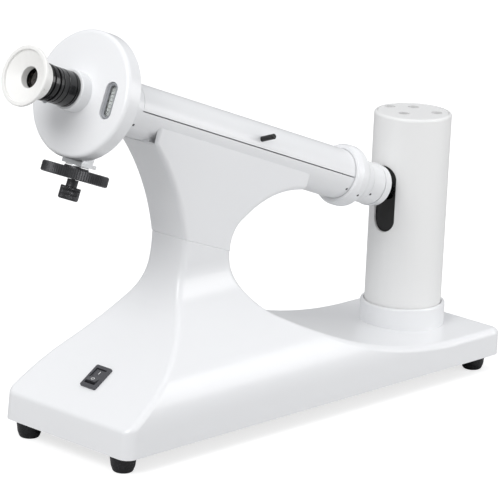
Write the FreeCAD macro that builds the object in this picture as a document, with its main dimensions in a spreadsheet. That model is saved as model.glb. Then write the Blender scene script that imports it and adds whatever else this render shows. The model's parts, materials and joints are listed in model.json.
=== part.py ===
"""Disc polarimeter on a cast stand, with a lamp column behind it.

Millimetres, +Z up, +X towards the lamp column, the eyepiece at -X.  The origin is on the surface
the feet stand on, at the middle of the instrument's overall box.

Three tilted frames carry the pieces that don't lie along the stand's own axes:
  tube frame   +Z along the optical axis towards the eyepiece, +X up across the tube
  shaft frame  +Z down the handwheel shaft, +X along the optical axis
  panel frame  +Z out of the sloping front panel, +X up its slope
"""
import FreeCAD
import Part
import Sketcher
import math
import os
import re

from FreeCAD import Placement, Rotation, Vector

# ---------------------------------------------------------------- driving dimensions
SIZES = {
    # stand casting, side outline and cross section
    "base_front": -191.0,
    "base_rear": 249.0,
    "base_half_width": 69.0,
    "foot_height": 14.0,
    "deck_height": 36.5,
    "deck_knee": 99.3,
    "deck_sweep": 420.0,
    "neck_rear": -34.3,
    "back_knee": 103.1,
    "back_arc": 58.5,
    "neck_rear_top": 140.0,
    "neck_front": -86.3,
    "neck_front_top": 158.2,
    "throat_knee": 126.4,
    "throat_arc": 88.0,
    "panel_knee_x": -122.0,
    "panel_knee_z": 79.8,
    "panel_arc": 160.0,
    "toe_height": 36.0,
    "toe_draft": 1.5,
    "shoulder_half": 68.6,
    "shoulder_knee": 53.4,
    "shoulder_arc": 62.0,
    "neck_half": 20.0,
    "neck_knee": 119.6,
    "neck_arc": 48.0,
    "wall": 4.0,
    "corner_round": 9.0,
    "edge_round": 5.0,
    # lamp column
    "column_x": 198.0,
    "column_radius": 32.2,
    "column_wall": 2.4,
    "column_top": 216.8,
    "column_round": 2.2,
    "ring_radius": 35.6,
    "ring_top": 55.2,
    "slot_half_width": 10.8,
    "slot_low": 118.5,
    "slot_high": 174.6,
    "vent_radius": 4.6,
    # optical axis: a point on it, and its tilt
    "axis_x": 29.5,
    "axis_z": 205.7,
    "tilt": 20.0,
    # tube and lid, in the tube frame
    "tube_radius": 20.6,
    "trough_radius": 18.0,
    "tube_rear": -83.0,
    "tube_front": 196.0,
    "lid_rear": -80.5,
    "lid_front": 178.5,
    "lid_gap": 0.4,
    "light_hole": 8.0,
    "hinge_y": 23.5,
    "hinge_up": 0.6,
    "knuckle_radius": 2.3,
    "knuckle_length": 12.0,
    "hinge_pin_radius": 1.0,
    # collar, barrel and lens cell at the rear of the tube
    "spigot_radius": 17.0,
    "spigot_rear": -100.0,
    "collar_front": -81.2,
    "collar_radius": 25.4,
    "collar_rear": -110.0,
    "barrel_radius": 17.4,
    "barrel_rear": -125.4,
    "cell_radius": 18.0,
    "cell_rear": -134.0,
    "optic_radius": 9.5,
    # drum behind the eyepiece
    "drum_rear": 214.5,
    "drum_front": 228.0,
    "drum_radius": 49.0,
    "drum_wall": 4.0,
    "crown_rise": 3.3,
    "boss_radius": 15.5,
    "boss_front": 241.4,
    "housing_radius": 27.5,
    "housing_wall": 3.0,
    "window_reach": 32.0,
    "window_length": 28.6,
    "window_width": 10.8,
    "dial_radius": 33.0,
    "dial_rear": 223.2,
    "hub_radius": 9.0,
    # bevel drive from the handwheel to the dial
    "shaft_station": 209.5,
    "crown_teeth": 60.0,
    "pinion_teeth": 15.0,
    "gear_module": 0.66667,
    "shaft_radius": 3.0,
    "wheel_top": 54.5,
    "wheel_bottom": 62.8,
    "wheel_radius": 25.8,
    "knob_top": 68.9,
    "knob_bottom": 78.8,
    "knob_radius": 7.4,
    # eyepiece
    "sleeve_radius": 11.55,
    "slider_radius": 10.02,
    "ring_front": 262.0,
    "focus_radius": 13.6,
    "barrel_front": 273.3,
    "cup_front": 288.9,
    "cup_radius": 22.9,
    "cup_neck": 15.2,
    # rocker switch on the front panel
    "panel_slope": 33.0,
    "switch_x": -158.0,
    "switch_z": 56.4,
    "switch_length": 22.5,
    "switch_width": 16.6,
    "gland_z": 25.0,
    "choke_x": 20.0,
    "light_height": 155.3,
    # feet
    "foot_front": -178.0,
    "foot_back": 232.0,
    "foot_half_gap": 52.0,
    "foot_radius": 10.2,
    "set_screw_radius": 1.15,
    # fits
    "running": 0.05,
}

doc = FreeCAD.newDocument("Polarimeter")
sheet = doc.addObject("Spreadsheet::Sheet", "dims")
for row, (alias, number) in enumerate(SIZES.items(), start=1):
    sheet.set(f"A{row}", alias.replace("_", " "))
    sheet.set(f"B{row}", str(number))
    sheet.setAlias(f"B{row}", alias)
doc.recompute()

nodes = {}


# ---------------------------------------------------------------- reading the sheet
def bound(expression):
    """The expression with each alias pointing into the sheet."""
    def prefix(match):
        word = match.group(0)
        return "dims." + word if word in SIZES else word
    return re.sub(r"[a-z][a-z_0-9]*", prefix, str(expression))


def size(expression):
    """The present value of an expression in the sheet's aliases."""
    if isinstance(expression, (int, float)):
        return float(expression)
    return float(sheet.evalExpression(bound(expression)))


# ---------------------------------------------------------------- frames
def about_y(origin, degrees):
    return Placement(origin, Rotation(Vector(0, 1, 0), degrees))


STAND = Placement()
TUBE = about_y(Vector(size("axis_x"), 0, size("axis_z")), size("tilt") - 90)
SHAFT = about_y(TUBE.multVec(Vector(0, 0, size("shaft_station"))), size("tilt") + 180)
PANEL = about_y(Vector(size("switch_x"), 0, size("switch_z")), -size("panel_slope"))
COLUMN = Placement(Vector(size("column_x"), 0, 0), Rotation())


# ---------------------------------------------------------------- sketches
def tangent_points(before, corner, after, radius):
    """Where an arc of this radius leaves the two straight runs that meet at the corner."""
    back = (before - corner).normalize()
    ahead = (after - corner).normalize()
    reach = radius / math.tan(back.getAngle(ahead) / 2)
    return corner + back * reach, corner + ahead * reach


def arc_in_corner(first, last, corner, radius):
    """The arc between two tangent points, and whether it runs anticlockwise."""
    bisector = ((first + last) * 0.5 - corner).normalize()
    reach = (first - corner).Length
    centre = corner + bisector * math.hypot(reach, radius)
    turn = (corner - first).cross(last - corner).z
    ends = (first, last) if turn > 0 else (last, first)
    angles = [math.atan2(p.y - centre.y, p.x - centre.x) for p in ends]
    if angles[1] < angles[0]:
        angles[1] += 2 * math.pi
    circle = Part.Circle(centre, Vector(0, 0, 1), radius)
    return Part.ArcOfCircle(circle, *angles), turn > 0


def pin_point(sketch, geometry, position, across, up):
    """Fix a point of the sketch at (across, up), each bound to the sheet."""
    for kind, axis, expression in (("DistanceX", -2, across), ("DistanceY", -1, up)):
        if str(expression) == "0":
            sketch.addConstraint(Sketcher.Constraint("PointOnObject", geometry, position, axis))
            continue
        rule = Sketcher.Constraint(kind, -1, 1, geometry, position, size(expression))
        index = sketch.addConstraint(rule)
        sketch.setExpression(f"Constraints[{index}]", bound(expression))


def set_radius(sketch, geometry, expression):
    rule = Sketcher.Constraint("Radius", geometry, size(expression))
    index = sketch.addConstraint(rule)
    sketch.setExpression(f"Constraints[{index}]", bound(expression))


def draw_outline(sketch, points):
    """A closed outline of straight runs; a third item on a point is its corner radius."""
    corners = [Vector(size(point[0]), size(point[1]), 0) for point in points]
    count = len(points)
    leaving = list(corners)
    arriving = list(corners)
    for index, point in enumerate(points):
        if len(point) == 3:
            around = (corners[index - 1], corners[index], corners[(index + 1) % count])
            arriving[index], leaving[index] = tangent_points(*around, size(point[2]))
    runs = []
    for index in range(count):
        run = Part.LineSegment(leaving[index], arriving[(index + 1) % count])
        runs.append(sketch.addGeometry(run))
    for index, point in enumerate(points):
        before, after = runs[index - 1], runs[index]
        if len(point) == 2:
            sketch.addConstraint(Sketcher.Constraint("Coincident", before, 2, after, 1))
            pin_point(sketch, after, 1, point[0], point[1])
            continue
        ends = (arriving[index], leaving[index])
        arc, left = arc_in_corner(*ends, corners[index], size(point[2]))
        bend = sketch.addGeometry(arc)
        head, tail = (1, 2) if left else (2, 1)
        sketch.addConstraint(Sketcher.Constraint("Tangent", before, 2, bend, head))
        sketch.addConstraint(Sketcher.Constraint("Tangent", bend, tail, after, 1))
        set_radius(sketch, bend, point[2])
        knot = sketch.addGeometry(Part.Point(corners[index]), True)
        pin_point(sketch, knot, 1, point[0], point[1])
        for run in (before, after):
            sketch.addConstraint(Sketcher.Constraint("PointOnObject", knot, 1, run))


def draw_obround(sketch, centre, length, width, upright=False):
    """A slot with round ends, long along the sketch's X, or along its Y when upright."""
    reach = f"(({length}) - ({width})) / 2"
    radius = f"({width}) / 2"
    across, up = centre
    if upright:
        ends = ((across, f"({up}) + {reach}", 0), (across, f"({up}) - {reach}", 180))
    else:
        ends = ((f"({across}) + {reach}", up, -90), (f"({across}) - {reach}", up, 90))
    arcs = []
    for x, y, first in ends:
        circle = Part.Circle(Vector(size(x), size(y), 0), Vector(0, 0, 1), size(radius))
        span = (math.radians(first), math.radians(first + 180))
        arcs.append(sketch.addGeometry(Part.ArcOfCircle(circle, *span)))
        pin_point(sketch, arcs[-1], 3, x, y)
        set_radius(sketch, arcs[-1], radius)
    for head, tail in ((arcs[0], arcs[1]), (arcs[1], arcs[0])):
        start = sketch.getPoint(head, 2)
        end = sketch.getPoint(tail, 1)
        side = sketch.addGeometry(Part.LineSegment(start, end))
        sketch.addConstraint(Sketcher.Constraint("Tangent", head, 2, side, 1))
        sketch.addConstraint(Sketcher.Constraint("Tangent", side, 2, tail, 1))


# ---------------------------------------------------------------- features of a body
def new_body(label, place):
    body = doc.addObject("PartDesign::Body", label)
    body.Label = label
    body.Placement = place
    return body


def new_sketch(body, role, lift="0"):
    """An empty sketch on one of the body's own origin planes, lifted along its normal."""
    plane = next(f for f in body.Origin.OriginFeatures if f.Role == role)
    sketch = body.newObject("Sketcher::SketchObject", body.Label + "_sketch")
    sketch.AttachmentSupport = [(plane, "")]
    sketch.MapMode = "FlatFace"
    if str(lift) != "0":
        sketch.setExpression("AttachmentOffset.Base.z", bound(lift))
    return sketch


def revolve(body, sketch, kind="PartDesign::Revolution", angle=360):
    feature = body.newObject(kind, body.Label + "_turn")
    feature.Profile = sketch
    feature.ReferenceAxis = (sketch, ["V_Axis"])
    feature.Angle = angle
    feature.Midplane = angle < 360
    return feature


def pad(body, sketch, length, symmetric=False, back=False):
    feature = body.newObject("PartDesign::Pad", body.Label + "_pad")
    feature.Profile = sketch
    feature.SideType = "Symmetric" if symmetric else "One side"
    feature.Reversed = back
    feature.setExpression("Length", bound(length))
    return feature


def pocket(body, sketch, length, symmetric=False, back=False):
    """Cut a sketch into the body, and make sure that it removes something."""
    doc.recompute()
    before = body.Shape.Volume
    feature = body.newObject("PartDesign::Pocket", body.Label + "_pocket")
    feature.Profile = sketch
    feature.SideType = "Symmetric" if symmetric else "One side"
    feature.Reversed = back
    feature.setExpression("Length", bound(length))
    doc.recompute()
    if body.Shape.Volume > before - 1e-3:
        raise RuntimeError(f"{body.Label}: a pocket cuts nothing")
    return feature


def add_cylinder(body, radius, length, place, cut=False):
    """A boss, or with cut a hole, whose axis is the place's own +Z."""
    kind = "PartDesign::SubtractiveCylinder" if cut else "PartDesign::AdditiveCylinder"
    doc.recompute()
    before = body.Shape.Volume if cut else 0
    feature = body.newObject(kind, body.Label + ("_hole" if cut else "_boss"))
    feature.setExpression("Radius", bound(radius))
    feature.setExpression("Height", bound(length))
    feature.Placement = place
    doc.recompute()
    if cut and body.Shape.Volume > before - 1e-3:
        raise RuntimeError(f"{body.Label}: a hole cuts nothing")
    return feature


def add_box(body, corner, sides, cut=False, place=Placement()):
    kind = "PartDesign::SubtractiveBox" if cut else "PartDesign::AdditiveBox"
    doc.recompute()
    before = body.Shape.Volume if cut else 0
    feature = body.newObject(kind, body.Label + ("_cut" if cut else "_block"))
    for name, expression in zip(("Length", "Width", "Height"), sides):
        feature.setExpression(name, bound(expression))
    feature.Placement = place * Placement(Vector(*[size(c) for c in corner]), Rotation())
    doc.recompute()
    if cut and body.Shape.Volume > before - 1e-3:
        raise RuntimeError(f"{body.Label}: a cut removes nothing")
    return feature


def is_sharp(shape, edge):
    """Whether the two faces that meet at an edge turn by more than a few degrees there."""
    faces = shape.ancestorsOfType(edge, Part.Face)
    if len(faces) != 2:
        return False
    middle = edge.valueAt(edge.getParameterByLength(edge.Length / 2))
    normals = [face.normalAt(*face.Surface.parameter(middle)) for face in faces]
    return math.degrees(normals[0].getAngle(normals[1])) > 8


def round_edges(body, radius, wanted, kind="PartDesign::Fillet"):
    """Fillet or chamfer every sharp edge whose box passes wanted(box)."""
    doc.recompute()
    tip = body.Tip
    names = []
    for index, edge in enumerate(tip.Shape.Edges, start=1):
        if wanted(edge.BoundBox) and is_sharp(tip.Shape, edge):
            names.append(f"Edge{index}")
    if not names:
        raise RuntimeError(f"{body.Label}: no edge to round")
    feature = body.newObject(kind, body.Label + "_edges")
    feature.Base = (tip, names)
    feature.setExpression("Radius" if kind.endswith("Fillet") else "Size", bound(radius))
    doc.recompute()
    return feature


def keep(label, thing):
    """List an object of the document as a sub-part that is written out."""
    thing.Label = label
    nodes[label] = thing
    return thing


def turned(label, outline, place, keep_it=True):
    """A piece turned about its frame's Z from an outline of (radius, height) points."""
    body = new_body(label, place)
    sketch = new_sketch(body, "XZ_Plane")
    draw_outline(sketch, outline)
    revolve(body, sketch)
    return keep(label, body) if keep_it else body


def washer(label, inner, outer, low, high, place):
    """A plain ring, tube or disc; an inner radius of "0" makes it solid."""
    outline = [(inner, low), (outer, low), (outer, high), (inner, high)]
    return turned(label, outline, place)


def group(label, body, places):
    """Identical pieces in one node: links to one body, placed by hand."""
    links = []
    for place in places:
        link = doc.addObject("App::Link", label + "_link")
        link.LinkedObject = body
        link.LinkTransform = False
        link.Placement = place
        links.append(link)
    compound = doc.addObject("Part::Compound", label)
    compound.Links = links
    return keep(label, compound)


def on_circle(radius, degrees, height=0.0):
    """A point at an angle about Z, counted from +X towards +Y."""
    turn = math.radians(degrees)
    return Vector(radius * math.cos(turn), radius * math.sin(turn), height)


def pointing(origin, direction):
    """A place whose +Z looks along a direction."""
    return Placement(origin, Rotation(Vector(0, 0, 1), direction))


def solid(kind, name, sizes, place):
    """A Part primitive whose sizes are bound to the sheet."""
    thing = doc.addObject(kind, name)
    for key, expression in sizes.items():
        thing.setExpression(key, bound(expression))
    thing.Placement = place
    return thing


def cylinder(name, radius, length, place):
    return solid("Part::Cylinder", name, {"Radius": radius, "Height": length}, place)


def fused(name, things):
    thing = doc.addObject("Part::MultiFuse", name)
    thing.Shapes = things
    return thing


def cut_from(name, base, tool):
    thing = doc.addObject("Part::Cut", name)
    thing.Base = base
    thing.Tool = tool
    return thing


# ---------------------------------------------------------------- stand
NECK_BOLTS = (-72.0, -48.0)


def seam_at(x):
    """The height, as an expression, of the neck seam at x."""
    slope = "(neck_front_top - neck_rear_top) / (neck_rear - neck_front)"
    return f"neck_rear_top + (neck_rear - ({x})) * {slope}"


def along_seam(box):
    """Whether an edge with this box lies in the plane of the neck seam."""
    height = size(seam_at(str(round(box.Center.x, 4))))
    return abs(box.Center.z - height) < 0.2 and box.ZLength < 20


def on_seam(x, lift=0.0):
    """A place on the neck seam at x whose +Z is square to the seam, lifted along it."""
    across = size("neck_rear - neck_front")
    drop = size("neck_front_top - neck_rear_top")
    square = Rotation(Vector(across, 0, -drop), Vector(0, 1, 0), Vector(drop, 0, across), "ZYX")
    foot = Placement(Vector(x, 0, size(seam_at(x))), square)
    return foot * Placement(Vector(0, 0, lift), Rotation())


def plate_screw_places(height):
    places = []
    for x in (-110, 40, 150):
        for y in (-58, 58):
            places.append(Placement(Vector(x, y, height), Rotation()))
    return places


def foot_places(height=0.0):
    places = []
    for x in (size("foot_front"), size("foot_back")):
        for y in (-size("foot_half_gap"), size("foot_half_gap")):
            places.append(Placement(Vector(x, y, height), Rotation()))
    return places


def casting_solid():
    """The casting before it is hollowed, with the ring that the lamp column stands in."""
    body = new_body("casting_solid", STAND)
    side = new_sketch(body, "XZ_Plane")
    draw_outline(side, [
        ("base_front", "foot_height"),
        ("base_rear", "foot_height"),
        ("base_rear", "deck_height"),
        ("deck_knee", "deck_height", "deck_sweep"),
        ("neck_rear", "back_knee", "back_arc"),
        ("neck_rear", "neck_rear_top"),
        ("neck_front", "neck_front_top"),
        ("neck_front", "throat_knee", "throat_arc"),
        ("panel_knee_x", "panel_knee_z", "panel_arc"),
        ("base_front + toe_draft", "toe_height"),
    ])
    pad(body, side, "2 * base_half_width", symmetric=True)
    flare = new_sketch(body, "YZ_Plane")
    low, high, out = "foot_height - 5", "neck_front_top + 5", "base_half_width + 5"
    for sign in ("", "-"):
        draw_outline(flare, [
            (f"{sign}base_half_width", low),
            (f"{sign}shoulder_half", "shoulder_knee", "shoulder_arc"),
            (f"{sign}neck_half", "neck_knee", "neck_arc"),
            (f"{sign}neck_half", high),
            (f"{sign}({out})", high),
            (f"{sign}({out})", low),
        ])
    pocket(body, flare, "4 * base_rear", symmetric=True)
    floor, deck, neck = size("foot_height"), size("deck_height"), size("neck_rear_top")

    def upright_corner(box):
        return max(box.XLength, box.YLength) < 3 and box.ZLength > 15 and box.ZMax < deck + 1

    def brim(box):
        on_seam = box.ZMin > neck - 1 and box.ZLength < 20 and box.XLength > 40
        across_seam = box.ZMin > neck - 0.1 and box.XLength < 0.1 and box.YLength > 20
        return box.ZMax > floor + 1 and not on_seam and not across_seam

    def ring_top(box):
        return box.ZMin > size("ring_top") - 0.1 and box.XMin > size("column_x") - 40

    round_edges(body, "corner_round", upright_corner)
    round_edges(body, "edge_round", brim)
    foot_of_ring = Placement(Vector(size("column_x"), 0, deck - 2), Rotation())
    add_cylinder(body, "ring_radius", "ring_top - deck_height + 2", foot_of_ring)
    round_edges(body, "1.6", ring_top)
    round_edges(body, "0.5", along_seam, "PartDesign::Chamfer")
    return body, side, flare


def casting_cavity(side, flare):
    """The space inside the casting: both outlines moved in by the wall, less the screw pillars."""
    wall = size("wall")
    reach = size("base_rear") * 2
    core = Part.Face(side.Shape.Wires[0].makeOffset2D(-wall))
    depth = size("base_half_width") - wall
    core.translate(Vector(0, depth, 0))
    hollow = core.extrude(Vector(0, -2 * depth, 0))
    for wire in flare.Shape.Wires:
        jaw = Part.Face(wire.makeOffset2D(wall))
        jaw.translate(Vector(-reach, 0, 0))
        hollow = hollow.cut(jaw.extrude(Vector(2 * reach, 0, 0)))
    mouth = Part.makeBox(size("base_rear - base_front") - 2 * wall - 3, 2 * depth, wall + 2)
    mouth.translate(Vector(size("base_front") + wall + 1.5, -depth, size("foot_height") - 1))
    hollow = hollow.fuse(mouth)
    for place in foot_places() + plate_screw_places(0):
        foot = place.Base + Vector(0, 0, size("foot_height") + 2)
        hollow = hollow.cut(Part.makeCylinder(5, 60, foot))
    cavity = doc.addObject("Part::Feature", "casting_cavity")
    cavity.Shape = hollow
    return cavity


def base_casting():
    body, side, flare = casting_solid()
    cavity = casting_cavity(side, flare)
    column = size("column_x")
    openings = [
        cavity,
        cylinder("lamp_socket_hole", "column_radius + 0.7", "20",
                 Placement(Vector(column, 0, size("ring_top") - 10), Rotation())),
        cylinder("lamp_wire_hole", "24", "30", Placement(Vector(column, 0, 28), Rotation())),
        cylinder("gland_hole", "6.2", "20",
                 pointing(Vector(size("base_rear") - 10, 0, size("gland_z")), Vector(1, 0, 0))),
        solid("Part::Box", "switch_hole",
              {"Length": "switch_length - 3", "Width": "switch_width - 3", "Height": "20"},
              PANEL * Placement(Vector(-(size("switch_length") - 3) / 2,
                                       -(size("switch_width") - 3) / 2, -10), Rotation())),
    ]
    for x in NECK_BOLTS:
        openings.append(cylinder("neck_bolt_hole", "2.75", "24", on_seam(x, -12)))
    for place in foot_places(size("foot_height")):
        openings.append(cylinder("foot_screw_hole", "2.05", "14", place))
    for place in plate_screw_places(size("foot_height")):
        openings.append(cylinder("plate_screw_hole", "1.55", "10", place))
    doc.recompute()
    return keep("base_casting", cut_from("base_casting", body, fused("casting_openings", openings)))


def base_plate():
    body = new_body("base_plate", STAND)
    front, rear = "base_front + wall + 2", "base_rear - wall - 2"
    side = "base_half_width - wall - 0.5"
    sketch = new_sketch(body, "XY_Plane", "foot_height")
    draw_outline(sketch, [
        (front, f"-({side})", "5"),
        (rear, f"-({side})", "5"),
        (rear, side, "5"),
        (front, side, "5"),
    ])
    pad(body, sketch, "1.9")
    for place in foot_places(size("foot_height") - 1):
        add_cylinder(body, "2.2", "5", place, cut=True)
    for place in plate_screw_places(size("foot_height") - 1):
        add_cylinder(body, "1.7", "5", place, cut=True)
    return keep("base_plate", body)


def base_fasteners():
    foot = turned("foot", [
        ("2.2", "6"),
        ("4", "6"),
        ("4", "0"),
        ("foot_radius - 2.6", "0", "2.4"),
        ("foot_radius - 0.8", "5", "3"),
        ("foot_radius", "foot_height - 3", "2"),
        ("foot_radius", "foot_height"),
        ("2.2", "foot_height"),
    ], STAND, keep_it=False)
    group("feet", foot, foot_places())
    foot_screw = turned("foot_screw", [
        ("0", "3.2"),
        ("3.6", "3.2"),
        ("3.6", "5.95"),
        ("2", "5.95"),
        ("2", "26"),
        ("0", "26"),
    ], STAND, keep_it=False)
    group("foot_screws", foot_screw, foot_places())
    plate_screw = turned("plate_screw", [
        ("0", "-1.8"),
        ("2.8", "-1.8", "1"),
        ("2.8", "-0.05"),
        ("1.5", "-0.05"),
        ("1.5", "9"),
        ("0", "9"),
    ], STAND, keep_it=False)
    group("base_plate_screws", plate_screw, plate_screw_places(size("foot_height")))


def tube_bracket():
    """The upper casting: stands on the neck and cradles the tube."""
    body = new_body("tube_bracket", STAND)
    side = new_sketch(body, "XZ_Plane")
    draw_outline(side, [
        ("-81.3", "130"),
        ("neck_rear", "130"),
        ("neck_rear", "156.4", "25"),
        ("12", "181.8", "92"),
        ("50", "176.4", "5"),
        ("54.5", "188.6"),
        ("-119.3", "251.9"),
        ("-123.3", "238.5"),
        ("-94", "202", "180"),
    ])
    pad(body, side, "2 * neck_half", symmetric=True)
    across = TUBE.Rotation.multVec(Vector(1, 0, 0))

    def long_side(box):
        middle = Vector(box.Center.x, 0, box.Center.z) - TUBE.Base
        under_tube = middle.dot(across) < -9
        return under_tube and box.YLength < 1 and box.ZMax > 131

    round_edges(body, "edge_round - 1", long_side)
    below = new_sketch(body, "XZ_Plane")
    draw_outline(below, [
        ("-150", seam_at("-150")),
        ("-150", "100"),
        ("20", "100"),
        ("20", seam_at("20")),
    ])
    pocket(body, below, "4 * neck_half", symmetric=True)
    round_edges(body, "0.5", along_seam, "PartDesign::Chamfer")
    tube_line = Placement(TUBE.multVec(Vector(0, 0, -150)), TUBE.Rotation)
    add_cylinder(body, "tube_radius + running", "400", tube_line, cut=True)
    for side in ("-17.9", "12"):
        add_box(body, ("-20", side, "140"), ("11", "5.9", "20"), cut=True, place=TUBE)
    for x in NECK_BOLTS:
        add_cylinder(body, "2.05", "19", on_seam(x, -1), cut=True)
    return keep("tube_bracket", body)


def neck_bolts():
    bolt = turned("neck_bolt", [
        ("0", "-8.2"),
        ("4.25", "-8.2"),
        ("4.25", "-4.2"),
        ("2", "-4.2"),
        ("2", "16"),
        ("0", "16"),
    ], STAND, keep_it=False)
    group("neck_bolts", bolt, [on_seam(x) for x in NECK_BOLTS])


def mains_inlet():
    """A flanged cord bush in the rear wall; the cord's own bore runs right through it."""
    wall_face = pointing(Vector(size("base_rear"), 0, size("gland_z")), Vector(1, 0, 0))
    turned("cord_bush", [
        ("3.6", "-10"),
        ("5.2", "-10"),
        ("6.1", "-5.5"),
        ("6.1", "0.05"),
        ("8.5", "0.05"),
        ("8.5", "1", "0.6"),
        ("3.6", "1"),
    ], wall_face)


def choke():
    """The lamp's choke: a stack of laminations, its winding, and the clamp that holds them."""
    core = new_body("choke_core", STAND)
    add_box(core, ("choke_x - 33", "-27", "27"), ("66", "54", "22"))
    for offset in ("choke_x - 22", "choke_x + 11"):
        add_box(core, (offset, "-16", "26"), ("11", "32", "24"), cut=True)
    keep("choke_core", core)
    coil = new_body("choke_coil", STAND)
    add_box(coil, ("choke_x - 20.5", "-15.5", "18.4"), ("41", "31", "39"))
    round_edges(coil, "4", lambda box: box.YLength > 30)
    add_box(coil, ("choke_x - 11.3", "-16", "26.7"), ("22.6", "32", "22.6"), cut=True)
    keep("choke_coil", coil)
    clamp = new_body("choke_clamp", STAND)
    add_box(clamp, ("choke_x - 45", "-12", "16"), ("90", "24", "35.5"))
    add_box(clamp, ("choke_x - 33.2", "-13", "15"), ("66.4", "26", "34.3"), cut=True)
    for offset in ("choke_x - 46", "choke_x + 34.8"):
        add_box(clamp, (offset, "-13", "17.6"), ("11.2", "26", "40"), cut=True)
    add_box(clamp, ("choke_x - 21.5", "-13", "48"), ("43", "26", "5"), cut=True)
    keep("choke_clamp", clamp)


def terminal_block():
    body = new_body("terminal_block", STAND)
    add_box(body, ("98", "-18", "16"), ("16", "36", "13"))
    for y in (-12, 0, 12):
        add_cylinder(body, "2.4", "6", Placement(Vector(106, y, 24), Rotation()), cut=True)
        throat = pointing(Vector(97, y, 20), Vector(1, 0, 0))
        add_cylinder(body, "1.7", "18", throat, cut=True)
    keep("terminal_block", body)


# ---------------------------------------------------------------- rocker switch
ROCKER_TILT = 10.0


def rocker_switch():
    """A snap-in switch: framed housing, tabs behind it, and a rocker on two trunnions."""
    half_long, half_wide = "switch_length / 2", "switch_width / 2"
    body = new_body("switch_housing", PANEL)
    add_box(body, (f"-{half_long}", f"-{half_wide}", "0.1"), ("switch_length", "switch_width", "2"))
    round_edges(body, "1.6", lambda box: box.ZLength > 1.5)
    round_edges(body, "0.8", lambda box: box.ZMin > 2.05)
    add_box(body, (f"1.6 - {half_long}", f"1.6 - {half_wide}", "-13"),
            ("switch_length - 3.2", "switch_width - 3.2", "13.2"))
    add_box(body, (f"3.25 - {half_long}", f"2.75 - {half_wide}", "-9"),
            ("switch_length - 6.5", "switch_width - 5.5", "12"), cut=True)
    trunnion = pointing(Vector(0, -size("switch_width") / 2, -3), Vector(0, 1, 0))
    add_cylinder(body, "1 + running", "switch_width", trunnion, cut=True)
    keep("switch_housing", body)
    tab = new_body("switch_tab", PANEL)
    add_box(tab, ("-0.4", "-2.4", "-21"), ("0.8", "4.8", "8"))
    slots = [PANEL * Placement(Vector(x, 0, 0), Rotation()) for x in (-6, 0, 6)]
    group("switch_tabs", tab, slots)
    rocker = new_body("switch_rocker", PANEL * Placement(
        Vector(0, 0, 0), Rotation(Vector(0, 1, 0), ROCKER_TILT), Vector(0, 0, -3)))
    side = new_sketch(rocker, "XZ_Plane")
    draw_outline(side, [
        ("0", "1.2"),
        ("-6.9", "2.4", "0.5"),
        ("-6.6", "-1.5"),
        ("-2.5", "-4.4"),
        ("2.5", "-4.4"),
        ("6.6", "-1.5"),
        ("6.9", "2.4", "0.5"),
    ])
    pad(rocker, side, "switch_width - 6.1", symmetric=True)
    pin_line = pointing(Vector(0, -size("switch_width") / 2 + 1.8, -3), Vector(0, 1, 0))
    add_cylinder(rocker, "1", "switch_width - 3.6", pin_line)
    keep("switch_rocker", rocker)


# ---------------------------------------------------------------- lamp column
VENTS = ((-11.0, 0.5), (12.8, -15.0), (13.4, 11.3), (-1.2, 24.4))


def lamp_column():
    body = turned("lamp_column", [
        ("column_radius - column_wall", "ring_top - 9.9"),
        ("column_radius", "ring_top - 9.9"),
        ("column_radius", "column_top", "column_round"),
        ("column_radius - column_wall + 0.1", "column_top"),
        ("column_radius - column_wall + 0.1", "column_top - 4"),
        ("column_radius - column_wall", "column_top - 4"),
    ], COLUMN)
    slot = new_sketch(body, "YZ_Plane", "-(column_radius + 2)")
    draw_obround(slot, ("0", "(slot_low + slot_high) / 2"), "slot_high - slot_low",
                 "2 * slot_half_width", upright=True)
    pocket(body, slot, "14", back=True)

    def slot_lip(box):
        outside = box.XMin > -size("column_radius") - 0.1 and box.XMax < -size("column_radius - 2")
        return outside and box.ZMin > size("slot_low - 1") and box.ZMax < size("slot_high + 1")

    round_edges(body, "0.9", slot_lip)


def lamp_cap():
    body = turned("lamp_cap", [
        ("0", "column_top - 3.9"),
        ("26.5", "column_top - 3.9"),
        ("26.5", "column_top - 8"),
        ("column_radius - column_wall - 0.15", "column_top - 8"),
        ("column_radius - column_wall - 0.15", "column_top - 3.9"),
        ("column_radius - column_wall - 0.2", "column_top - 3.9"),
        ("column_radius - column_wall - 0.2", "column_top - 0.3", "0.5"),
        ("0", "column_top - 0.3"),
    ], COLUMN)
    for x, y in VENTS:
        start = Placement(Vector(x, y, size("column_top") - 12), Rotation())
        add_cylinder(body, "vent_radius", "20", start, cut=True)


def lamp():
    """The lamp and what holds it, inside a black tube that shields the room from its light."""
    shield = turned("lamp_shield", [
        ("28.2", "47.5"),
        ("29.5", "47.5"),
        ("29.5", "column_top - 8.3"),
        ("28.2", "column_top - 8.3"),
    ], COLUMN)
    light = pointing(Vector(-34, 0, size("light_height")), Vector(1, 0, 0))
    add_cylinder(shield, "optic_radius", "14", light, cut=True)
    washer("socket_plate", "12", "29.5", "45.4", "47.3", COLUMN)
    turned("lamp_socket", [
        ("7", "47.4"),
        ("16", "47.4"),
        ("16", "66", "1.5"),
        ("13.5", "72"),
        ("11", "72"),
        ("11", "52"),
        ("7", "52"),
    ], COLUMN)
    turned("lamp_base", [
        ("0", "52.2"),
        ("10.8", "52.2"),
        ("10.8", "72.3"),
        ("14.6", "72.3"),
        ("14.6", "80", "1.5"),
        ("0", "80"),
    ], COLUMN)
    turned("lamp_bulb", [
        ("13.6", "80.2"),
        ("14.6", "80.2"),
        ("14.6", "190", "14"),
        ("0", "190"),
        ("0", "189"),
        ("13.6", "189", "13"),
    ], COLUMN)
    turned("arc_tube", [
        ("0", "80.2"),
        ("1", "80.2"),
        ("1", "118"),
        ("5.5", "122", "3"),
        ("5.5", "176", "5"),
        ("0", "176"),
    ], COLUMN)


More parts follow.
